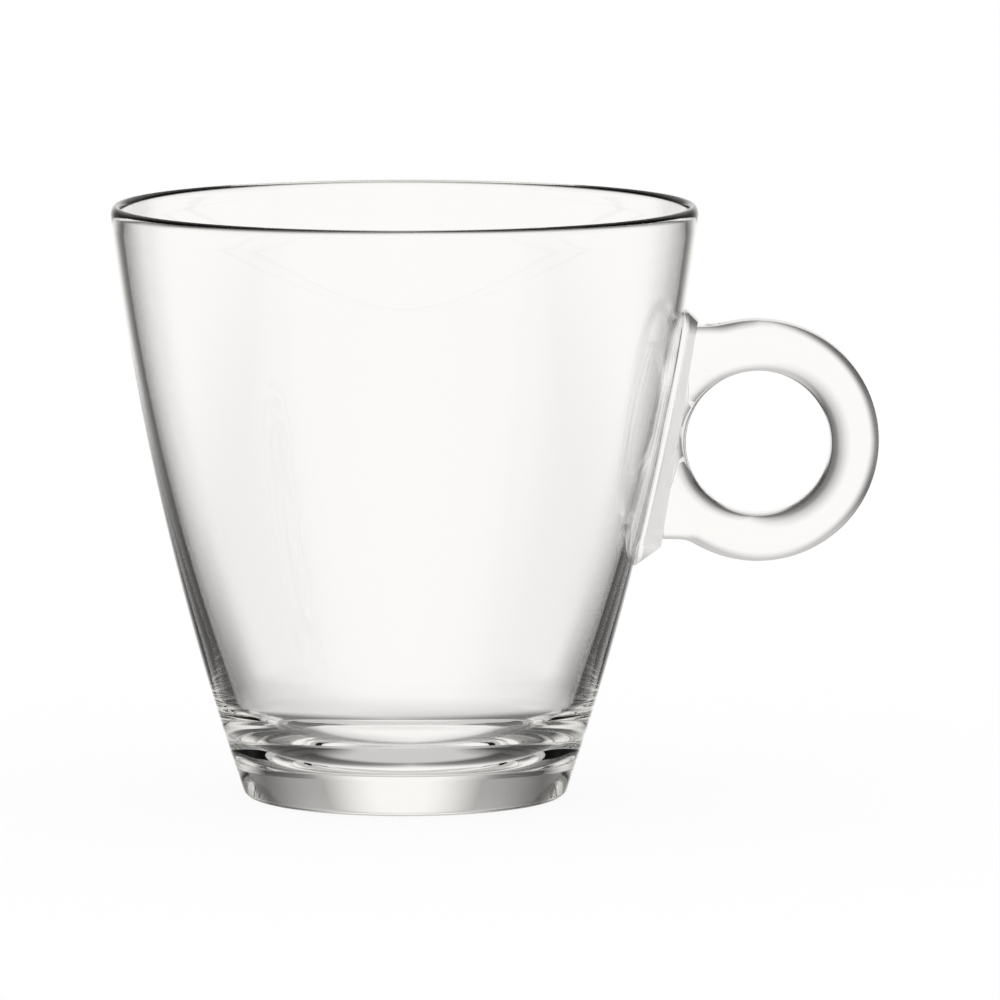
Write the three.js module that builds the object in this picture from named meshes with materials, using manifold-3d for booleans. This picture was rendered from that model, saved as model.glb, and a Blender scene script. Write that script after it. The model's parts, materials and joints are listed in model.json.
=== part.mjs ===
// A clear glass cup with a ring handle: a pressed body, and a pressed handle that is fused to its wall.
// Millimetres, +Z up. The cup stands on Z = 0, with its handle towards +X.
// The origin lies under the middle of the whole cup, handle included.
import * as THREE from "three";
import { mergeVertices } from "three/addons/utils/BufferGeometryUtils.js";
import Module from "manifold-3d";

// Outside of the cup body
const cupHeight = 83;
const rimRadius = 41;
const footRadius = 22.5;
const wallBow = 2.15; // how far the wall swells out from a straight cone
const footCornerRadius = 1.1;

// Inside of the cup body
const rimWall = 1.4;
const lowWall = 3.2; // wall at the height where the bowl of the base begins
const lowHeight = 20;
const innerBow = 1.65; // how far the inside swells out between the bowl and the lip
const floorHeight = 6; // thickness of the solid base
const bowlRadius = 13; // from the wall into the floor

// Shallow hollow under the base, which leaves a ring that the cup stands on
const hollowRadius = 18;
const hollowDepth = 0.5;

// Ring of the handle
const ringHoleRadius = 10.1;
const ringBand = 6.8; // from the hole to the outside
const ringDepth = 7;
const ringFaceLand = 0.8; // flat strip left on the crowned faces
const ringRoundLand = 4.8; // straight strip left in the hole and round the outside
const ringBelowRim = 33.25; // centre of the hole

// Arms that run from the ring to the pad, above and below the hole
const armTopDrop = 0.9; // from the ring's highest point
const armBottomRise = 3.1; // from the ring's lowest point
const armBlend = 6;

// Foot pad of the handle, which lies on the wall
const padTopThickness = 2.1;
const padBottomThickness = 3.3;
const padTopBevel = 1.7;
const padBottomBevel = 3;
const padOverTop = 1.05; // straight pad above the upper arm
const padUnderBottom = 0.65; // straight pad below the lower arm
const padLedge = 1.5; // pad beside the ring, each side
const padCornerRadius = 3.5;
const padToHole = 1; // glass between the pad's face and the hole
const weldGap = 0.3; // clearance that stands for the fused seam

// Fineness of the facets
const turnSteps = 64;
const wallSteps = 12;
const cornerSteps = 6;
const ringSteps = 48;
const roundingSteps = 4;
const mergeDistance = 1e-4;

// Sizes that follow from the driving ones
const ringRadius = ringHoleRadius + ringBand;
const ringHeight = cupHeight - ringBelowRim;
const armTop = ringRadius - armTopDrop;
const armBottom = ringRadius - armBottomRise;
const padWidth = ringDepth + 2 * padLedge;

const wasm = await Module();
wasm.setup();

const glass = new THREE.MeshStandardMaterial({
  color: 0xf2f5f3,
  roughness: 0.03,
  metalness: 0,
  transparent: true,
  opacity: 0.35,
});

const point = (x, y) => new THREE.Vector2(x, y);

// Arc between two points that bulges by bow, to the right of the way from start to end.
function bowedLine(start, end, bow) {
  const chord = end.clone().sub(start);
  const radius = (chord.lengthSq() / 4 + bow * bow) / (2 * bow);
  const right = point(chord.y, -chord.x).normalize();
  const centre = start.clone().lerp(end, 0.5).addScaledVector(right, bow - radius);
  const from = start.clone().sub(centre).angle();
  const to = end.clone().sub(centre).angle();
  return new THREE.EllipseCurve(centre.x, centre.y, radius, radius, from, to);
}

// Outline with rounded corners. Each corner is a point and a radius, where 0 leaves it sharp.
function roundedOutline(corners) {
  return corners.flatMap(([corner, radius], i) => {
    if (radius === 0) return [corner];
    const before = corners.at(i - 1)[0].clone().sub(corner).normalize();
    const after = corners[(i + 1) % corners.length][0].clone().sub(corner).normalize();
    const halfAngle = Math.acos(before.dot(after)) / 2;
    const setBack = radius / Math.tan(halfAngle);
    const start = corner.clone().addScaledVector(before, setBack);
    const end = corner.clone().addScaledVector(after, setBack);
    const bow = radius * (1 - Math.sin(halfAngle));
    if (before.cross(after) < 0) return bowedLine(start, end, bow).getPoints(cornerSteps);
    return bowedLine(end, start, bow).getPoints(cornerSteps).reverse();
  });
}

const sharp = (points) => points.map((corner) => [corner, 0]);

// Turns an outline of radius and height about the cup's axis.
const revolve = (outline) => new THREE.LatheGeometry(outline, turnSteps).rotateX(Math.PI / 2);

// Closed mesh as a solid that can be joined and cut.
function solidOf(geometry) {
  const bare = geometry.clone();
  bare.deleteAttribute("normal");
  bare.deleteAttribute("uv");
  const merged = mergeVertices(bare, mergeDistance);
  const corners = merged.index.array;
  const triVerts = [];
  for (let i = 0; i < corners.length; i += 3) {
    const [a, b, c] = corners.slice(i, i + 3);
    if (a !== b && b !== c && c !== a) triVerts.push(a, b, c);
  }
  return new wasm.Manifold(
    new wasm.Mesh({
      numProp: 3,
      vertProperties: merged.attributes.position.array,
      triVerts: new Uint32Array(triVerts),
    }),
  );
}

function geometryOf(solid) {
  const { vertProperties, triVerts } = solid.getMesh();
  const geometry = new THREE.BufferGeometry();
  geometry.setAttribute("position", new THREE.BufferAttribute(vertProperties, 3));
  geometry.setIndex(new THREE.BufferAttribute(triVerts, 1));
  geometry.computeVertexNormals();
  return geometry;
}

function namedMesh(name, geometry) {
  const mesh = new THREE.Mesh(geometry, glass);
  mesh.name = name;
  return mesh;
}

// The wall's outside, from the foot to the start of the rounded lip, and its radius at a height.
const lipHeight = cupHeight - rimWall / 2;
const wallCurve = bowedLine(point(footRadius, 0), point(rimRadius, lipHeight), wallBow);

function wallRadius(height) {
  return wallCurve.aX + Math.sqrt(wallCurve.xRadius ** 2 - (height - wallCurve.aY) ** 2);
}

// Pressed body: hollow, foot, outer wall, lip, inner wall, bowl and floor, as one outline that is turned.
function cupBody() {
  const innerTop = point(rimRadius - rimWall, lipHeight);
  const innerLow = point(wallRadius(lowHeight) - lowWall, lowHeight);
  const hollow = bowedLine(point(hollowRadius, 0), point(0, hollowDepth), hollowDepth / 4);
  const lip = bowedLine(point(rimRadius, lipHeight), innerTop, rimWall / 2);
  const innerWall = bowedLine(innerLow, innerTop, innerBow);
  const lean = innerWall.getTangent(0);
  const innerFoot = innerLow.clone().addScaledVector(lean, (floorHeight - lowHeight) / lean.y);
  const outline = roundedOutline([
    ...sharp(hollow.getPoints(cornerSteps).reverse()),
    [point(footRadius, 0), footCornerRadius],
    ...sharp(wallCurve.getPoints(wallSteps).slice(1, -1)),
    ...sharp(lip.getPoints(2 * cornerSteps)),
    ...sharp(innerWall.getPoints(wallSteps).reverse().slice(1)),
    [innerFoot, bowlRadius],
    [point(0, floorHeight), 0],
  ]);
  return namedMesh("cup_body", revolve(outline));
}

// Edges of the pad's outer face, as radius and height
const padTopEdgeHeight = ringHeight + armTop + padOverTop;
const padBottomEdgeHeight = ringHeight - armBottom - padUnderBottom;
const padTopEdge = point(wallRadius(padTopEdgeHeight) + padTopThickness, padTopEdgeHeight);
const padBottomEdge = point(wallRadius(padBottomEdgeHeight) + padBottomThickness, padBottomEdgeHeight);

// The ring stands clear of the pad's face by the glass beside the hole.
const ringShare = (ringHeight - padBottomEdgeHeight) / (padTopEdgeHeight - padBottomEdgeHeight);
const ringCentre = padBottomEdge.clone().lerp(padTopEdge, ringShare).x + padToHole + ringHoleRadius;
const handleReach = ringCentre + ringRadius;

// Curve from the ring's outside into an arm's straight edge, which lies this far above the ring's centre.
function armCurve(edge) {
  const height = edge + armBlend;
  const back = Math.sqrt((ringRadius + armBlend) ** 2 - height ** 2);
  const fromRing = Math.atan2(-height, back);
  const curve = new THREE.EllipseCurve(-back, height, armBlend, armBlend, fromRing, -Math.PI / 2, true);
  return curve.getPoints(cornerSteps);
}

// Ring and arms, as a plate with rounded edges that runs on into the cup's wall.
function ringPlate() {
  const upper = armCurve(armTop);
  const lower = armCurve(armBottom)
    .map((p) => point(p.x, -p.y))
    .reverse();
  const round = new THREE.EllipseCurve(0, 0, ringRadius, ringRadius, lower.at(-1).angle(), upper[0].angle());
  const plate = new THREE.Shape([
    point(-ringCentre, -armBottom),
    ...lower,
    ...round.getPoints(ringSteps).slice(1, -1),
    ...upper,
    point(-ringCentre, armTop),
  ]);
  const hole = new THREE.EllipseCurve(0, 0, ringHoleRadius, ringHoleRadius);
  plate.holes.push(new THREE.Path(hole.getPoints(ringSteps).slice(1)));
  const bevelSize = (ringBand - ringFaceLand) / 2;
  return new THREE.ExtrudeGeometry(plate, {
    depth: ringRoundLand,
    bevelThickness: (ringDepth - ringRoundLand) / 2,
    bevelSize,
    bevelOffset: -bevelSize,
    bevelSegments: roundingSteps,
  })
    .translate(0, 0, -ringRoundLand / 2)
    .rotateX(Math.PI / 2)
    .translate(ringCentre, 0, ringHeight);
}

// Foot pad: a belt round the wall with bevelled edges, trimmed to the pad's outline.
function footPad() {
  const top = padTopEdgeHeight + padTopBevel;
  const bottom = padBottomEdgeHeight - padBottomBevel;
  const belt = revolve([
    point(footRadius, bottom),
    point(wallRadius(bottom), bottom),
    padBottomEdge,
    padTopEdge,
    point(wallRadius(top), top),
    point(footRadius, top),
    point(footRadius, bottom),
  ]);
  const side = padWidth / 2;
  const front = roundedOutline([
    [point(-side, bottom), padCornerRadius],
    [point(side, bottom), padCornerRadius],
    [point(side, top), padCornerRadius],
    [point(-side, top), padCornerRadius],
  ]);
  const trim = new THREE.ExtrudeGeometry(new THREE.Shape(front), { depth: ringCentre, bevelEnabled: false });
  const acrossThenUp = new THREE.Matrix4().makeBasis(
    new THREE.Vector3(0, 1, 0),
    new THREE.Vector3(0, 0, 1),
    new THREE.Vector3(1, 0, 0),
  );
  return solidOf(belt).intersect(solidOf(trim.applyMatrix4(acrossThenUp)));
}

// Pressed handle: ring, arms and pad in one piece, cut to lie on the wall.
function ringHandle() {
  const wall = wallCurve.getPoints(wallSteps).map((p) => point(p.x + weldGap, p.y));
  const wallBlank = revolve([point(0, 0), ...wall, point(0, lipHeight)]);
  const handle = footPad().add(solidOf(ringPlate())).subtract(solidOf(wallBlank));
  return namedMesh("ring_handle", geometryOf(handle));
}

const cup = new THREE.Group();
cup.add(cupBody(), ringHandle());
cup.position.x = (rimRadius - handleReach) / 2;

export default cup;
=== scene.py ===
# %% [markdown]
# # A clear glass cup with a ring handle
#
# This lesson dresses a small assembly, a pressed glass cup and the pressed ring that is fused to its wall,
# and sets it up the way glass is photographed. The frame holds the two pieces at their real size. Its
# meshes are faceted, and glass shows every facet, so each piece gets a smooth mesh of the same size that
# stands for it.

# %% Load the frame
import json
import math

import bmesh
import bpy
from mathutils import Matrix, Vector

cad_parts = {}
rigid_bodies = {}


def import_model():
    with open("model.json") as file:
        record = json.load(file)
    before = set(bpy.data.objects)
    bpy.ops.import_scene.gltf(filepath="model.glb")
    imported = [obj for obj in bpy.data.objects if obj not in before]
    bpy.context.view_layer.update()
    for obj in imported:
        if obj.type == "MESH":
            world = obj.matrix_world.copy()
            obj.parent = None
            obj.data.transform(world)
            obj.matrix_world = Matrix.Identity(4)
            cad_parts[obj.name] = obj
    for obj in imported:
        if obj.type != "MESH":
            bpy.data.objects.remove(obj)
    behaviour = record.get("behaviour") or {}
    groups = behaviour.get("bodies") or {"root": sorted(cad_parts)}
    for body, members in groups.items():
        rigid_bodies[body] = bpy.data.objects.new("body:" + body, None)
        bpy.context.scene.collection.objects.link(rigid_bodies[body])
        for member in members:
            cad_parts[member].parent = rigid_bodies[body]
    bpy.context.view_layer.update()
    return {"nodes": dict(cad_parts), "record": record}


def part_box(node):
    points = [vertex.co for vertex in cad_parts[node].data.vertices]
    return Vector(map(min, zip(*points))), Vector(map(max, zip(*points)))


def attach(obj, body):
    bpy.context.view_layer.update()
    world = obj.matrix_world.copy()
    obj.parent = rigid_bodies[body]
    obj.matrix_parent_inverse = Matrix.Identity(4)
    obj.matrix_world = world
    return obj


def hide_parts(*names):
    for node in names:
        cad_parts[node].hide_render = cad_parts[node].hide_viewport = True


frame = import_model()
MM = 0.001
print("pieces in the frame:", sorted(frame["nodes"]))

# %% [markdown]
# ## Where the cup stands
#
# The cup's axis isn't at the origin, because the handle counts in the outline that the origin is centred
# under. The frame gives us every place we need: the body's box for the axis, the rim and the height, the
# handle's box for the width of its pad, and the box of the finger hole, which the record keeps as an
# opening, for the ring's middle.

# %% Read the main places from the frame
body_low, body_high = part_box("cup_body")
handle_low, handle_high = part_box("ring_handle")
AXIS_X = (body_low.x + body_high.x) / 2
RIM_RADIUS = (body_high.x - body_low.x) / 2
CUP_HEIGHT = body_high.z
openings = {opening["name"]: opening["box_m"] for opening in frame["record"]["physics"]["openings"]}
hole_low, hole_high = openings["finger_hole"]
RING_CENTRE = (Vector(hole_low) + Vector(hole_high)) / 2
PAD_WIDTH = handle_high.y - handle_low.y
print(f"axis at x = {AXIS_X / MM:.1f} mm")
print(f"rim radius {RIM_RADIUS / MM:.1f} mm, height {CUP_HEIGHT / MM:.1f} mm")

# %% [markdown]
# ## Camera
#
# The photograph looks at the cup from the side, a little from above, through a long lens. The rim and the
# foot are both ellipses, and how round each one is tells how far above it the eye stands: about 5 degrees
# at the rim and 8.5 at the foot. Those two angles, one cup height apart, put the lens about 1.4 m away.

# %% Place the camera
PHOTO_SIDE = 1000
PHOTO_AXIS_X = 405
PHOTO_FOOT_Y = 794.2
METRES_PER_PIXEL = 0.14 * MM
CAMERA_DISTANCE = 1395 * MM
CAMERA_ELEVATION = math.radians(6.75)
SENSOR_WIDTH = 36

aim = Vector((
    AXIS_X + (PHOTO_SIDE / 2 - PHOTO_AXIS_X) * METRES_PER_PIXEL,
    0,
    (PHOTO_FOOT_Y - PHOTO_SIDE / 2) * METRES_PER_PIXEL / math.cos(CAMERA_ELEVATION),
))
towards_eye = Vector((0, -math.cos(CAMERA_ELEVATION), math.sin(CAMERA_ELEVATION)))
camera_data = bpy.data.cameras.new("camera")
camera_data.sensor_width = SENSOR_WIDTH
camera_data.lens = SENSOR_WIDTH * CAMERA_DISTANCE / (PHOTO_SIDE * METRES_PER_PIXEL)
camera = bpy.data.objects.new("camera", camera_data)
camera.location = aim + towards_eye * CAMERA_DISTANCE
camera.rotation_euler = (-towards_eye).to_track_quat("-Z", "Y").to_euler()
bpy.context.scene.collection.objects.link(camera)
bpy.context.scene.camera = camera
print(f"lens {camera_data.lens:.0f} mm, {CAMERA_DISTANCE:.3f} m from the cup")

# %% [markdown]
# ## Drawing outlines with three strokes
#
# A pressed cup is a turned form: one outline, spun about the axis. We draw the outline as on a drawing
# board, with a straight stroke, a bowed one and a rounded corner. The straight stroke extrudes the last
# vertex. The bowed one spins it about the centre of the arc, so the curve is exact and its fineness is a
# single number. The rounded corner is a straight stroke and a bowed one.

# %% Three strokes


def stroke_to(bm, tip, x, z):
    """Extrudes the outline's last vertex straight to a new place."""
    end = bmesh.ops.extrude_vert_indiv(bm, verts=[tip])["verts"][0]
    end.co = (x, 0, z)
    return end


def bow_to(bm, tip, x, z, bow, steps):
    """Spins the outline's last vertex along an arc. A positive bow bulges to the right of its way."""
    start, end = tip.co.copy(), Vector((x, 0, z))
    chord = end - start
    right = Vector((chord.z, 0, -chord.x)).normalized()
    radius = (chord.length_squared / 4 + bow * bow) / (2 * bow)
    centre = (start + end) / 2 + right * (bow - radius)
    made = bmesh.ops.spin(
        bm, geom=[tip], cent=centre, axis=(0, -1, 0), angle=4 * math.atan(2 * bow / chord.length), steps=steps
    )
    return next(g for g in made["geom_last"] if isinstance(g, bmesh.types.BMVert))


def round_to(bm, tip, corner, after, radius, steps):
    """Draws towards a corner and round it, ready to go on to the point after it."""
    corner, after = Vector((corner[0], 0, corner[1])), Vector((after[0], 0, after[1]))
    back, ahead = (tip.co - corner).normalized(), (after - corner).normalized()
    half_angle = back.angle(ahead) / 2
    set_back = radius / math.tan(half_angle)
    start, end = corner + back * set_back, corner + ahead * set_back
    bow = math.copysign(radius * (1 - math.sin(half_angle)), back.x * ahead.z - back.z * ahead.x)
    return bow_to(bm, stroke_to(bm, tip, start.x, start.z), end.x, end.z, -bow, steps)


print("strokes: straight, bowed, rounded corner")

# %% [markdown]
# ## From outline to piece
#
# Spinning the outline makes the turned form. Where it touches the axis, the spin leaves a vertex for every
# step, so the doubles are welded. Every piece stays at the origin with its place in its mesh, and is shaded
# smooth, because the surface of glass has no facets to catch the light.

# %% Turn an outline, keep a mesh
WELD = 1e-7
TURN_STEPS = 256


def turn(bm, steps, angle=math.tau):
    """Spins the whole outline about the cup's axis and closes the poles."""
    bmesh.ops.spin(
        bm, geom=bm.verts[:] + bm.edges[:] + bm.faces[:], cent=(AXIS_X, 0, 0), axis=(0, 0, 1), angle=angle,
        steps=steps, use_merge=angle == math.tau
    )
    bmesh.ops.remove_doubles(bm, verts=bm.verts, dist=WELD)
    bmesh.ops.recalc_face_normals(bm, faces=bm.faces)


def keep(bm, name):
    """Turns a finished bmesh into an object that sits at the origin."""
    for face in bm.faces:
        face.smooth = True
    mesh = bpy.data.meshes.new(name)
    bm.to_mesh(mesh)
    bm.free()
    made = bpy.data.objects.new(name, mesh)
    bpy.context.scene.collection.objects.link(made)
    return made


print(f"a full turn has {TURN_STEPS} steps")

# %% [markdown]
# ## Cup body
#
# A gob of glass is pressed between a mould, which shapes the outside, and a plunger, which shapes the
# inside. So the base is thick and solid with a bowl-shaped inside, and the wall thins on its way up. The
# lip is melted round in a flame afterwards. A very shallow hollow underneath leaves a ring for the cup to
# stand on. The photograph tells how thick the wall is: the dark band along each side is about as wide as
# the glass.

# %% Sizes of the body
FOOT_RADIUS = 22.5 * MM
FOOT_CORNER = 1.1 * MM
WALL_BOW = 2.15 * MM
RIM_WALL = 1.5 * MM
LIP_RISE = 1.3 * MM
LOW_WALL = 2.5 * MM
LOW_HEIGHT = 20 * MM
INNER_BOW = 1.75 * MM
FLOOR_HEIGHT = 6 * MM
BOWL_RADIUS = 13 * MM
DISH_RADIUS = 18 * MM
DISH_DEPTH = 0.5 * MM
DISH_BOW = DISH_DEPTH / 4
WALL_STEPS = 40
BOWL_STEPS = 32
CORNER_STEPS = 10
LIP_HEIGHT = CUP_HEIGHT - LIP_RISE


def wall_radius(height):
    """Outer radius of the wall at a height: a point on the arc from the foot to the lip."""
    rise, run = LIP_HEIGHT, RIM_RADIUS - FOOT_RADIUS
    chord = math.hypot(rise, run)
    radius = (chord * chord / 4 + WALL_BOW * WALL_BOW) / (2 * WALL_BOW)
    inward = radius - WALL_BOW
    centre_radius = (FOOT_RADIUS + RIM_RADIUS) / 2 - inward * rise / chord
    centre_height = LIP_HEIGHT / 2 + inward * run / chord
    return centre_radius + math.sqrt(radius * radius - (height - centre_height) ** 2)


print(f"wall radius half way up: {wall_radius(CUP_HEIGHT / 2) / MM:.2f} mm")

# %% Turn the body
bm = bmesh.new()
tip = bmesh.ops.create_vert(bm, co=(AXIS_X, 0, DISH_DEPTH))["vert"][0]
tip = bow_to(bm, tip, AXIS_X + DISH_RADIUS, 0, -DISH_BOW, CORNER_STEPS)
foot_start = (AXIS_X + wall_radius(2 * FOOT_CORNER), 2 * FOOT_CORNER)
tip = round_to(bm, tip, (AXIS_X + FOOT_RADIUS, 0), foot_start, FOOT_CORNER, CORNER_STEPS)
wall_start = tip.co.copy()
tip = bow_to(bm, tip, AXIS_X + RIM_RADIUS, LIP_HEIGHT, WALL_BOW, WALL_STEPS)
tip = bow_to(bm, tip, AXIS_X + RIM_RADIUS - RIM_WALL, LIP_HEIGHT, RIM_WALL / 2, 2 * CORNER_STEPS)
lip = [vert for vert in bm.verts if vert.co.z > LIP_HEIGHT + WELD]
lip_foot = Matrix.Translation((0, 0, -LIP_HEIGHT))
bmesh.ops.scale(bm, verts=lip, vec=(1, 1, 2 * LIP_RISE / RIM_WALL), space=lip_foot)
tip = bow_to(bm, tip, AXIS_X + wall_radius(LOW_HEIGHT) - LOW_WALL, LOW_HEIGHT, -INNER_BOW, WALL_STEPS)
before = next(edge.other_vert(tip) for edge in tip.link_edges)
lean = (tip.co.x - before.co.x) / (tip.co.z - before.co.z)
corner_x = tip.co.x + lean * (FLOOR_HEIGHT - tip.co.z)
tip = round_to(bm, tip, (corner_x, FLOOR_HEIGHT), (AXIS_X, FLOOR_HEIGHT), BOWL_RADIUS, BOWL_STEPS)
stroke_to(bm, tip, AXIS_X, FLOOR_HEIGHT)
turn(bm, TURN_STEPS)
body = keep(bm, "pressed_body")
print("body:", len(body.data.polygons), "faces")

# %% [markdown]
# ## Ring of the handle
#
# The finger ring is a plate with crowned faces and rounded edges, spun round the hole. The crown makes the
# soft grey fade beside the hole, because a face bends light further the steeper it gets. The two short arms
# are not separate rods: above and below the hole the ring grows out towards the wall, with level edges. So
# the outer half of the ring is pulled outwards there, until it reaches those edges.

# %% Sizes of the ring
HOLE_RADIUS = 10.1 * MM
RING_RADIUS = 16.9 * MM
RING_RISE = 0.26 * MM
RING_DEPTH = 7 * MM
CREST_RADIUS = 14.5 * MM
HOLE_DROP = 1.1 * MM
RIM_DROP = 1.5 * MM
RING_EDGE = 1.1 * MM
ARM_TOP = 16 * MM
ARM_BOTTOM = 13.8 * MM
ARM_REACH = 22 * MM
ARM_BLEND = 0.25 * MM
CROWN_STEPS = 12
EDGE_STEPS = 6
RING_STEPS = 160
print(f"ring: hole {2 * HOLE_RADIUS / MM:.1f} mm, outside {2 * RING_RADIUS / MM:.1f} mm")

# %% Draw half of the section and mirror it


def crown_bow(across, drop):
    """Bow of an arc that falls by drop over this distance and is level at its top."""
    return math.hypot(across, drop) / 2 * math.tan(math.atan2(drop, across) / 2)


def eased_corner(bm, tip, corner, along, radius):
    """Rounds a corner between a straight stroke and a crown that leaves it in the direction along."""
    return round_to(bm, tip, corner, (corner[0] + along[0], corner[1] + along[1]), radius, EDGE_STEPS)


half_depth = RING_DEPTH / 2
hole_run, rim_run = CREST_RADIUS - HOLE_RADIUS, RING_RADIUS - CREST_RADIUS
hole_slope = 2 * math.atan2(HOLE_DROP, hole_run)
rim_slope = 2 * math.atan2(RIM_DROP, rim_run)
bm = bmesh.new()
tip = bmesh.ops.create_vert(bm, co=(RING_RADIUS, 0, 0))["vert"][0]
tip = eased_corner(
    bm, tip, (RING_RADIUS, half_depth - RIM_DROP), (-math.cos(rim_slope), math.sin(rim_slope)), RING_EDGE
)
rim_bow = crown_bow(tip.co.x - CREST_RADIUS, half_depth - tip.co.z)
tip = bow_to(bm, tip, CREST_RADIUS, half_depth, rim_bow, CROWN_STEPS)
hole_corner = Vector((HOLE_RADIUS, 0, half_depth - HOLE_DROP))
crown_end = hole_corner + Vector((math.cos(hole_slope), 0, math.sin(hole_slope))) * RING_EDGE
hole_bow = crown_bow(CREST_RADIUS - crown_end.x, half_depth - crown_end.z)
tip = bow_to(bm, tip, crown_end.x, crown_end.z, hole_bow, CROWN_STEPS)
tip = round_to(bm, tip, (hole_corner.x, hole_corner.z), (HOLE_RADIUS, 0), RING_EDGE, EDGE_STEPS)
stroke_to(bm, tip, HOLE_RADIUS, 0)
bmesh.ops.mirror(bm, geom=bm.verts[:] + bm.edges[:], merge_dist=WELD, axis="Z")
bmesh.ops.remove_doubles(bm, verts=bm.verts, dist=WELD)
print("section:", len(bm.verts), "points")

# %% Spin the ring and pull out its arms


def arm_pull(offset):
    """How far the ring's outside moves outwards at a point, given by its offset from the ring's centre."""
    if offset.x >= 0:
        return 0
    distance = math.hypot(offset.x, offset.z)
    level = ARM_TOP if offset.z > 0 else ARM_BOTTOM
    edge = min(level * distance / max(abs(offset.z), WELD), ARM_REACH * distance / -offset.x)
    excess = edge - RING_RADIUS
    return (excess + math.hypot(excess, 2 * ARM_BLEND)) / 2


bmesh.ops.rotate(bm, verts=bm.verts, cent=(0, 0, 0), matrix=Matrix.Rotation(math.pi / 2, 3, "X"))
bmesh.ops.translate(bm, verts=bm.verts, vec=RING_CENTRE)
bmesh.ops.spin(
    bm, geom=bm.verts[:] + bm.edges[:], cent=RING_CENTRE, axis=(0, 1, 0), angle=math.tau, steps=RING_STEPS,
    use_merge=True
)
for vert in bm.verts:
    offset = vert.co - RING_CENTRE
    radial = Vector((offset.x, 0, offset.z))
    if radial.length > CREST_RADIUS - WELD:
        vert.co += radial.normalized() * arm_pull(offset)
        vert.co.z += RING_RISE
bmesh.ops.recalc_face_normals(bm, faces=bm.faces)
handle = keep(bm, "pressed_handle")
print("ring:", len(handle.data.polygons), "faces")

# %% [markdown]
# ## Foot pad, and the cut that lets it lie on the wall
#
# The handle was pressed with a long pad at its back, so that a wide strip of hot glass met the wall. The
# pad is a slice of a belt round the cup: a bevelled outline, spun through a few degrees and trimmed to a
# plate with round corners and drafted sides, which let it leave the mould. Booleans then join pad and ring
# and cut away all that lies inside the wall. The cut leaves a film of air, thinner than a hair, between pad
# and wall. It lets the wall's own dark line run on behind the pad, as it does in the photograph.

# %% Sizes of the pad
PAD_TOP_EDGE = 66.8 * MM
PAD_BOTTOM_EDGE = 35.3 * MM
PAD_TOP_BEVEL = 1.7 * MM
PAD_BOTTOM_BEVEL = 2.9 * MM
PAD_TOP_THICKNESS = 2.1 * MM
PAD_BOTTOM_THICKNESS = 3.3 * MM
PAD_CORNER = 3.5 * MM
PAD_DRAFT = math.radians(16)
PAD_SWEEP = math.radians(32)
PAD_STEPS = 32
PAD_LEAN = math.radians(9.9)
TRIM_REACH = 8 * MM
TRIM_SINK = 1 * MM
SEAM_FILM = 0.03 * MM
CREASE_ANGLE = math.radians(28)


def combine(target, tool, operation):
    """Applies one boolean to target's mesh and removes the tool."""
    cut = target.modifiers.new(operation.lower(), "BOOLEAN")
    cut.operation = operation
    cut.solver = "EXACT"
    cut.object = tool
    made = bpy.data.meshes.new_from_object(target.evaluated_get(bpy.context.evaluated_depsgraph_get()))
    target.modifiers.clear()
    target.data = made
    bpy.data.objects.remove(tool)


pad_top = PAD_TOP_EDGE + PAD_TOP_BEVEL
pad_bottom = PAD_BOTTOM_EDGE - PAD_BOTTOM_BEVEL
print(f"pad: {(pad_top - pad_bottom) / MM:.1f} mm high, {PAD_WIDTH / MM:.1f} mm wide")

# %% Spin the belt
bm = bmesh.new()
tip = bmesh.ops.create_vert(bm, co=(AXIS_X + FOOT_RADIUS, 0, pad_bottom))["vert"][0]
tip = stroke_to(bm, tip, AXIS_X + wall_radius(pad_bottom), pad_bottom)
tip = stroke_to(bm, tip, AXIS_X + wall_radius(PAD_BOTTOM_EDGE) + PAD_BOTTOM_THICKNESS, PAD_BOTTOM_EDGE)
tip = stroke_to(bm, tip, AXIS_X + wall_radius(PAD_TOP_EDGE) + PAD_TOP_THICKNESS, PAD_TOP_EDGE)
tip = stroke_to(bm, tip, AXIS_X + wall_radius(pad_top), pad_top)
tip = stroke_to(bm, tip, AXIS_X + FOOT_RADIUS, pad_top)
bmesh.ops.contextual_create(bm, geom=bm.verts[:])
bmesh.ops.rotate(bm, verts=bm.verts, cent=(AXIS_X, 0, 0), matrix=Matrix.Rotation(-PAD_SWEEP / 2, 3, "Z"))
turn(bm, PAD_STEPS, PAD_SWEEP)
belt = keep(bm, "belt")
print("belt:", len(belt.data.polygons), "faces")

# %% Trim the belt to the pad
# The plate starts one metre square, so its scale is its size.
bm = bmesh.new()
plate = bmesh.ops.create_grid(bm, x_segments=1, y_segments=1, size=0.5)["verts"]
bmesh.ops.scale(bm, verts=plate, vec=((pad_top - pad_bottom) / math.cos(PAD_LEAN), PAD_WIDTH, 1))
bmesh.ops.bevel(
    bm, geom=plate, offset=PAD_CORNER, offset_type="OFFSET", affect="VERTICES", segments=CORNER_STEPS,
    profile=0.5, material=-1
)
pushed = bmesh.ops.extrude_face_region(bm, geom=bm.faces[:])["geom"]
pushed_verts = [g for g in pushed if isinstance(g, bmesh.types.BMVert)]
bmesh.ops.translate(bm, verts=pushed_verts, vec=(0, 0, TRIM_REACH))
narrowing = 1 - 2 * TRIM_REACH * math.tan(PAD_DRAFT) / PAD_WIDTH
bmesh.ops.scale(bm, verts=pushed_verts, vec=(1, narrowing, 1))
bmesh.ops.rotate(bm, verts=bm.verts, cent=(0, 0, 0), matrix=Matrix.Rotation(math.pi / 2 + PAD_LEAN, 3, "Y"))
pad_middle = (pad_top + pad_bottom) / 2
bmesh.ops.translate(bm, verts=bm.verts, vec=(AXIS_X + wall_radius(pad_middle) - TRIM_SINK, 0, pad_middle))
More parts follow.
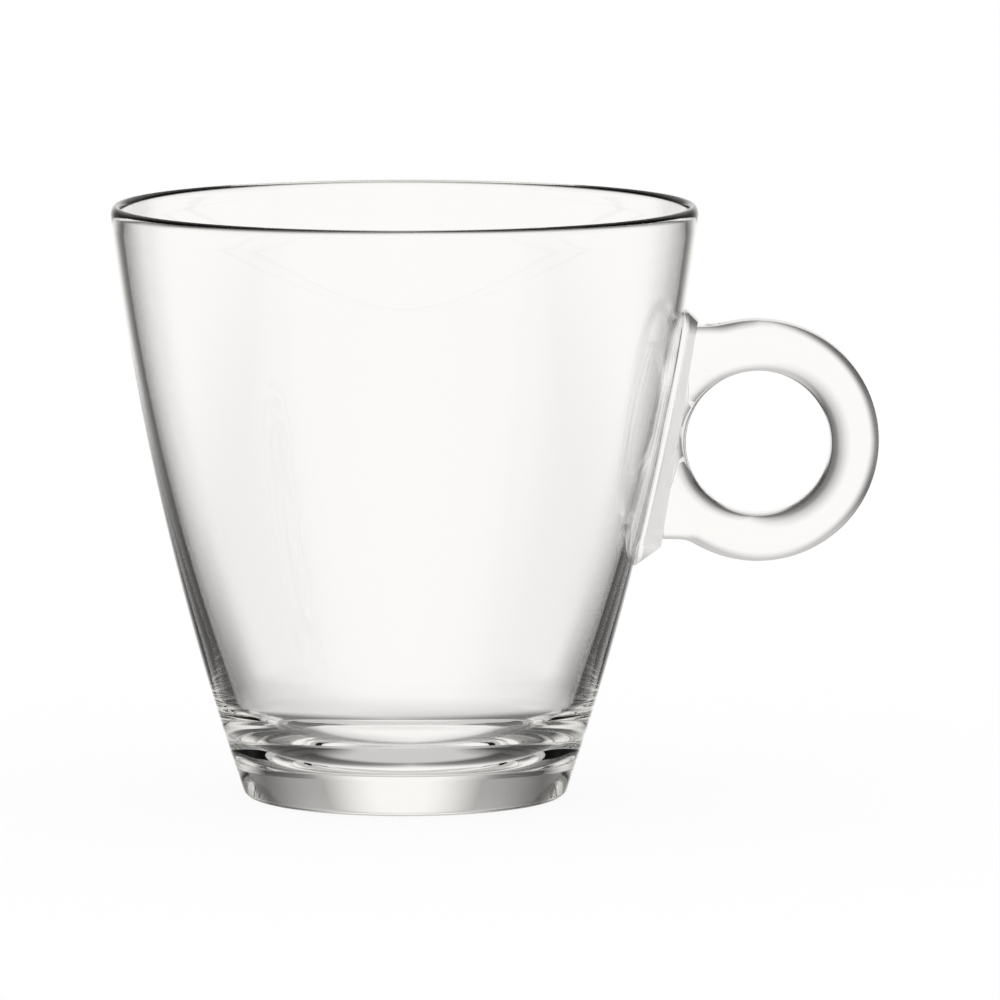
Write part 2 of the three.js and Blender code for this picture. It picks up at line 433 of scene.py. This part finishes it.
bmesh.ops.recalc_face_normals(bm, faces=bm.faces)
combine(belt, keep(bm, "trim"), "INTERSECT")
print("pad:", len(belt.data.polygons), "faces")

# %% Join pad and ring, and cut away the wall
bm = bmesh.new()
tip = bmesh.ops.create_vert(bm, co=(AXIS_X, 0, wall_start.z))["vert"][0]
tip = stroke_to(bm, tip, wall_start.x + SEAM_FILM, wall_start.z)
tip = bow_to(bm, tip, AXIS_X + RIM_RADIUS + SEAM_FILM, LIP_HEIGHT, WALL_BOW, WALL_STEPS)
stroke_to(bm, tip, AXIS_X, LIP_HEIGHT)
turn(bm, TURN_STEPS)
combine(handle, belt, "UNION")
combine(handle, keep(bm, "wall_blank"), "DIFFERENCE")
handle.data.set_sharp_from_angle(angle=CREASE_ANGLE)
print("handle:", len(handle.data.polygons), "faces")

# %% [markdown]
# ## Clear soda-lime glass
#
# Pressed tableware is soda-lime glass, clear in a thin wall and faintly tinted where light crosses the
# thick base. A Principled shader with full transmission bends light as glass does, and a Volume Absorption
# takes a little light out by depth, so thick glass tints and thin glass doesn't. The mould leaves very low
# waves, here little more than a thousandth of a millimetre high, so the surface isn't perfectly even.

# %% Helpers for colours and nodes


def srgb(code):
    """A hex colour as linear numbers, with full alpha."""
    channels = [int(code[i:i + 2], 16) / 255 for i in (1, 3, 5)]
    return *[c / 12.92 if c <= 0.04045 else ((c + 0.055) / 1.055) ** 2.4 for c in channels], 1


def add_node(tree, kind, inputs=(), **settings):
    """Adds a node, sets its properties, and gives each input a value or the socket that feeds it."""
    node = tree.nodes.new(kind)
    for name, value in settings.items():
        setattr(node, name, value)
    for name, value in dict(inputs).items():
        if isinstance(value, bpy.types.NodeSocket):
            tree.links.new(value, node.inputs[name])
        else:
            node.inputs[name].default_value = value
    return node


def new_material(name):
    """An empty material, and the node tree to fill."""
    material = bpy.data.materials.new(name)
    material.use_nodes = True
    material.node_tree.nodes.clear()
    return material, material.node_tree


print("white in linear numbers:", srgb("#FFFFFF")[:3])

# %% The glass
GLASS_IOR = 1.52
WAVE_LENGTH = 9 * MM
WAVE_HEIGHT = 0.0015 * MM
TINT_DENSITY = 3.0

# Clear glass: its dark edges and bright middle come from what it bends into view, not from its own colour.
glass, tree = new_material("clear_soda_lime_glass")
place = add_node(tree, "ShaderNodeTexCoord")
waves = add_node(tree, "ShaderNodeTexNoise", {
    "Vector": place.outputs["Object"], "Scale": 1 / WAVE_LENGTH, "Detail": 1.0
})
wavy = add_node(tree, "ShaderNodeBump", {"Distance": WAVE_HEIGHT, "Height": waves.outputs[0]})
surface = add_node(tree, "ShaderNodeBsdfPrincipled", {
    "Base Color": srgb("#FFFFFF"), "Roughness": 0.0, "IOR": GLASS_IOR, "Transmission Weight": 1.0,
    "Normal": wavy.outputs[0],
})
depth = add_node(tree, "ShaderNodeVolumeAbsorption", {"Color": srgb("#E6E9DE"), "Density": TINT_DENSITY})
add_node(tree, "ShaderNodeOutputMaterial", {"Surface": surface.outputs[0], "Volume": depth.outputs[0]})
for piece, node in ((body, "cup_body"), (handle, "ring_handle")):
    piece.data.materials.clear()
    piece.data.materials.append(glass)
    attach(piece, "root")
    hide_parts(node)
print(f"glass: index {GLASS_IOR}, waves {WAVE_LENGTH / MM:.0f} mm long")

# %% [markdown]
# ## Floor and daylight
#
# The cup stands on white, so floor and sky are both plain white. An even white sky lights a matt white
# floor, which sends all of that light back, so floor and background come out as the same white. Part of the
# floor's white is a glow of its own, as on a light table, and that keeps the cup's shadow soft and faint.
# The glass looks past the floor, at the screen that we hang up next.

# %% White floor and white sky
FLOOR_RADIUS = 8
FLOOR_STEPS = 128
GLOW_SHARE = 0.9
world = bpy.data.worlds.new("white_sky")
bpy.context.scene.world = world
world.use_nodes = True
tree = world.node_tree
tree.nodes.clear()
sky = add_node(tree, "ShaderNodeBackground", {"Color": srgb("#FFFFFF"), "Strength": 1.0})
add_node(tree, "ShaderNodeOutputWorld", {"Surface": sky.outputs[0]})

bm = bmesh.new()
bmesh.ops.create_circle(bm, cap_ends=True, radius=FLOOR_RADIUS, segments=FLOOR_STEPS)
floor = keep(bm, "white_floor")

# Matt card on a light table: white without a sheen, so nothing but the soft shadow tells where the floor is.
card, tree = new_material("matt_white_card")
matt = add_node(tree, "ShaderNodeBsdfDiffuse", {"Color": srgb("#FFFFFF")})
lit = add_node(tree, "ShaderNodeEmission", {"Color": srgb("#FFFFFF"), "Strength": 1.0})
mixed = add_node(tree, "ShaderNodeMixShader", {"Fac": GLOW_SHARE, 1: matt.outputs[0], 2: lit.outputs[0]})
add_node(tree, "ShaderNodeOutputMaterial", {"Surface": mixed.outputs[0]})
floor.data.materials.append(card)
floor.visible_transmission = floor.visible_glossy = False
print(f"floor: {2 * FLOOR_RADIUS} m across")

# %% [markdown]
# ## Bright-field screen
#
# Clear glass on white has no edges of its own. A photographer draws them by lighting it from behind with a
# screen that is only a little wider than the glass: light that passes straight through is white, and every
# steep edge bends the dark beside the screen into view. Here the whole studio is the inside of a large
# ball. The ball hangs from the camera, as screen and lens stay in line when a cup is turned on its stand.

# %% Hang up the ball
SCREEN_RADIUS = 1.6
SCREEN_STEPS = 64
bm = bmesh.new()
bmesh.ops.create_uvsphere(bm, u_segments=SCREEN_STEPS, v_segments=SCREEN_STEPS // 2, radius=SCREEN_RADIUS)
bmesh.ops.reverse_faces(bm, faces=bm.faces)
screen = keep(bm, "bright_field_screen")
screen.parent = camera
screen.location = (0, 0, -CAMERA_DISTANCE)
screen.visible_camera = screen.visible_diffuse = screen.visible_shadow = False
print(f"ball: {2 * SCREEN_RADIUS} m across, with the cup at its middle")

# %% [markdown]
# ## How bright each part of the studio is
#
# A point on the ball is known by the way to it from the cup: across, upwards, and forwards to the lens. The
# screen is the patch straight behind the cup, round at the top and pointed at the foot, and its light falls
# off from the middle. A sheet of paper carries it on overhead and under the table. Left and right of the
# screen it is dark, which draws the edges. Further round, the pale room keeps the reflections in the wall
# from going grey.

# %% Ways from the cup
# Warm white paper, lit from behind: it lends the glass the slight warmth that the photograph has.
paper, tree = new_material("glowing_screen")
place = add_node(tree, "ShaderNodeTexCoord")
way = add_node(tree, "ShaderNodeVectorMath", {0: place.outputs["Object"]}, operation="NORMALIZE")
across, upwards, forwards = add_node(tree, "ShaderNodeSeparateXYZ", {0: way.outputs[0]}).outputs
aside = add_node(tree, "ShaderNodeMath", {0: across}, operation="ABSOLUTE").outputs[0]
upright = add_node(tree, "ShaderNodeMath", {0: upwards}, operation="ABSOLUTE").outputs[0]
ways = {"aside": aside, "upwards": upwards, "upright": upright, "forwards": forwards}
print("ways from the cup:", *ways)

# %% The screen itself
SCREEN_LEVELS = (
    (11, 1), (13, 0.92), (15.5, 0.79), (18, 0.63), (20.5, 0.48), (23, 0.31), (26, 0.19), (30, 0.14),
    (36, 0.1), (45, 0.06),
)
SCREEN_STRETCH = 1.8
squash = (1, 1 / SCREEN_STRETCH, 0)
oval = add_node(tree, "ShaderNodeVectorMath", {0: way.outputs[0], 1: squash}, operation="MULTIPLY")
round_top = add_node(tree, "ShaderNodeVectorMath", {0: oval.outputs[0]}, operation="LENGTH")
drop = add_node(tree, "ShaderNodeMath", {0: upright, 1: SCREEN_STRETCH}, operation="DIVIDE")
pointed_foot = add_node(tree, "ShaderNodeMath", {0: aside, 1: drop.outputs[0]}, operation="ADD")
is_foot = add_node(tree, "ShaderNodeMath", {0: upwards, 1: 0.0}, operation="LESS_THAN")
off_middle = add_node(tree, "ShaderNodeMix", {
    0: is_foot.outputs[0], 2: round_top.outputs["Value"], 3: pointed_foot.outputs[0]
})
panel = add_node(tree, "ShaderNodeValToRGB", {"Fac": off_middle.outputs[0]})
stops = panel.color_ramp.elements
while len(stops) < len(SCREEN_LEVELS):
    stops.new(1)
for stop, (angle, level) in zip(stops, SCREEN_LEVELS):
    stop.position = math.sin(math.radians(angle))
    stop.color = (level, level, level, 1)
print(f"screen: {len(SCREEN_LEVELS)} levels, from the middle outwards")

# %% Paper and room round the screen
# Each patch has a level, and the ways along which it eases in, from nothing at one place to full at another.
PATCHES = {
    "paper overhead": (0.6, (("upwards", 0.1, 0.45), ("aside", 0.8, 0.3))),
    "paper under the table": (0.6, (("upwards", -0.62, -0.8), ("aside", 0.5, 0.25))),
    "room at both sides": (0.95, (("aside", 0.62, 0.88), ("upright", 0.45, 0.2))),
    "room behind the lens": (0.95, (("forwards", 0.05, 0.7), ("aside", 1.2, 0.75))),
}
brightest = panel.outputs[0]
for name, (level, fades) in PATCHES.items():
    patch = level
    for direction, start, full in fades:
        fade = add_node(tree, "ShaderNodeMapRange", {
            "Value": ways[direction], "From Min": start, "From Max": full
        }, interpolation_type="SMOOTHSTEP")
        eased = add_node(tree, "ShaderNodeMath", {0: patch, 1: fade.outputs[0]}, operation="MULTIPLY")
        patch = eased.outputs[0]
    brightest = add_node(tree, "ShaderNodeMath", {0: brightest, 1: patch}, operation="MAXIMUM").outputs[0]
    print(f"{name}: {level} of the screen's middle")
glow = add_node(tree, "ShaderNodeEmission", {"Color": srgb("#FDFBF9"), "Strength": brightest})
add_node(tree, "ShaderNodeOutputMaterial", {"Surface": glow.outputs[0]})
paper.cycles.emission_sampling = "NONE"
screen.data.materials.append(paper)

# %% [markdown]
# ## Light paths and colours
#
# Light that is caught in the thick base is thrown from wall to wall many times before it gets out. The
# usual limit of four reflections would leave black patches there, so the paths are made longer. Twenty is a
# middle way, because far longer paths turn the low wall pale and grainy. Colours are shown as they are.

# %% Finish
LIGHT_BOUNCES = 20
paths = bpy.context.scene.cycles
paths.max_bounces = paths.glossy_bounces = paths.transmission_bounces = LIGHT_BOUNCES
bpy.context.scene.view_settings.view_transform = "Standard"
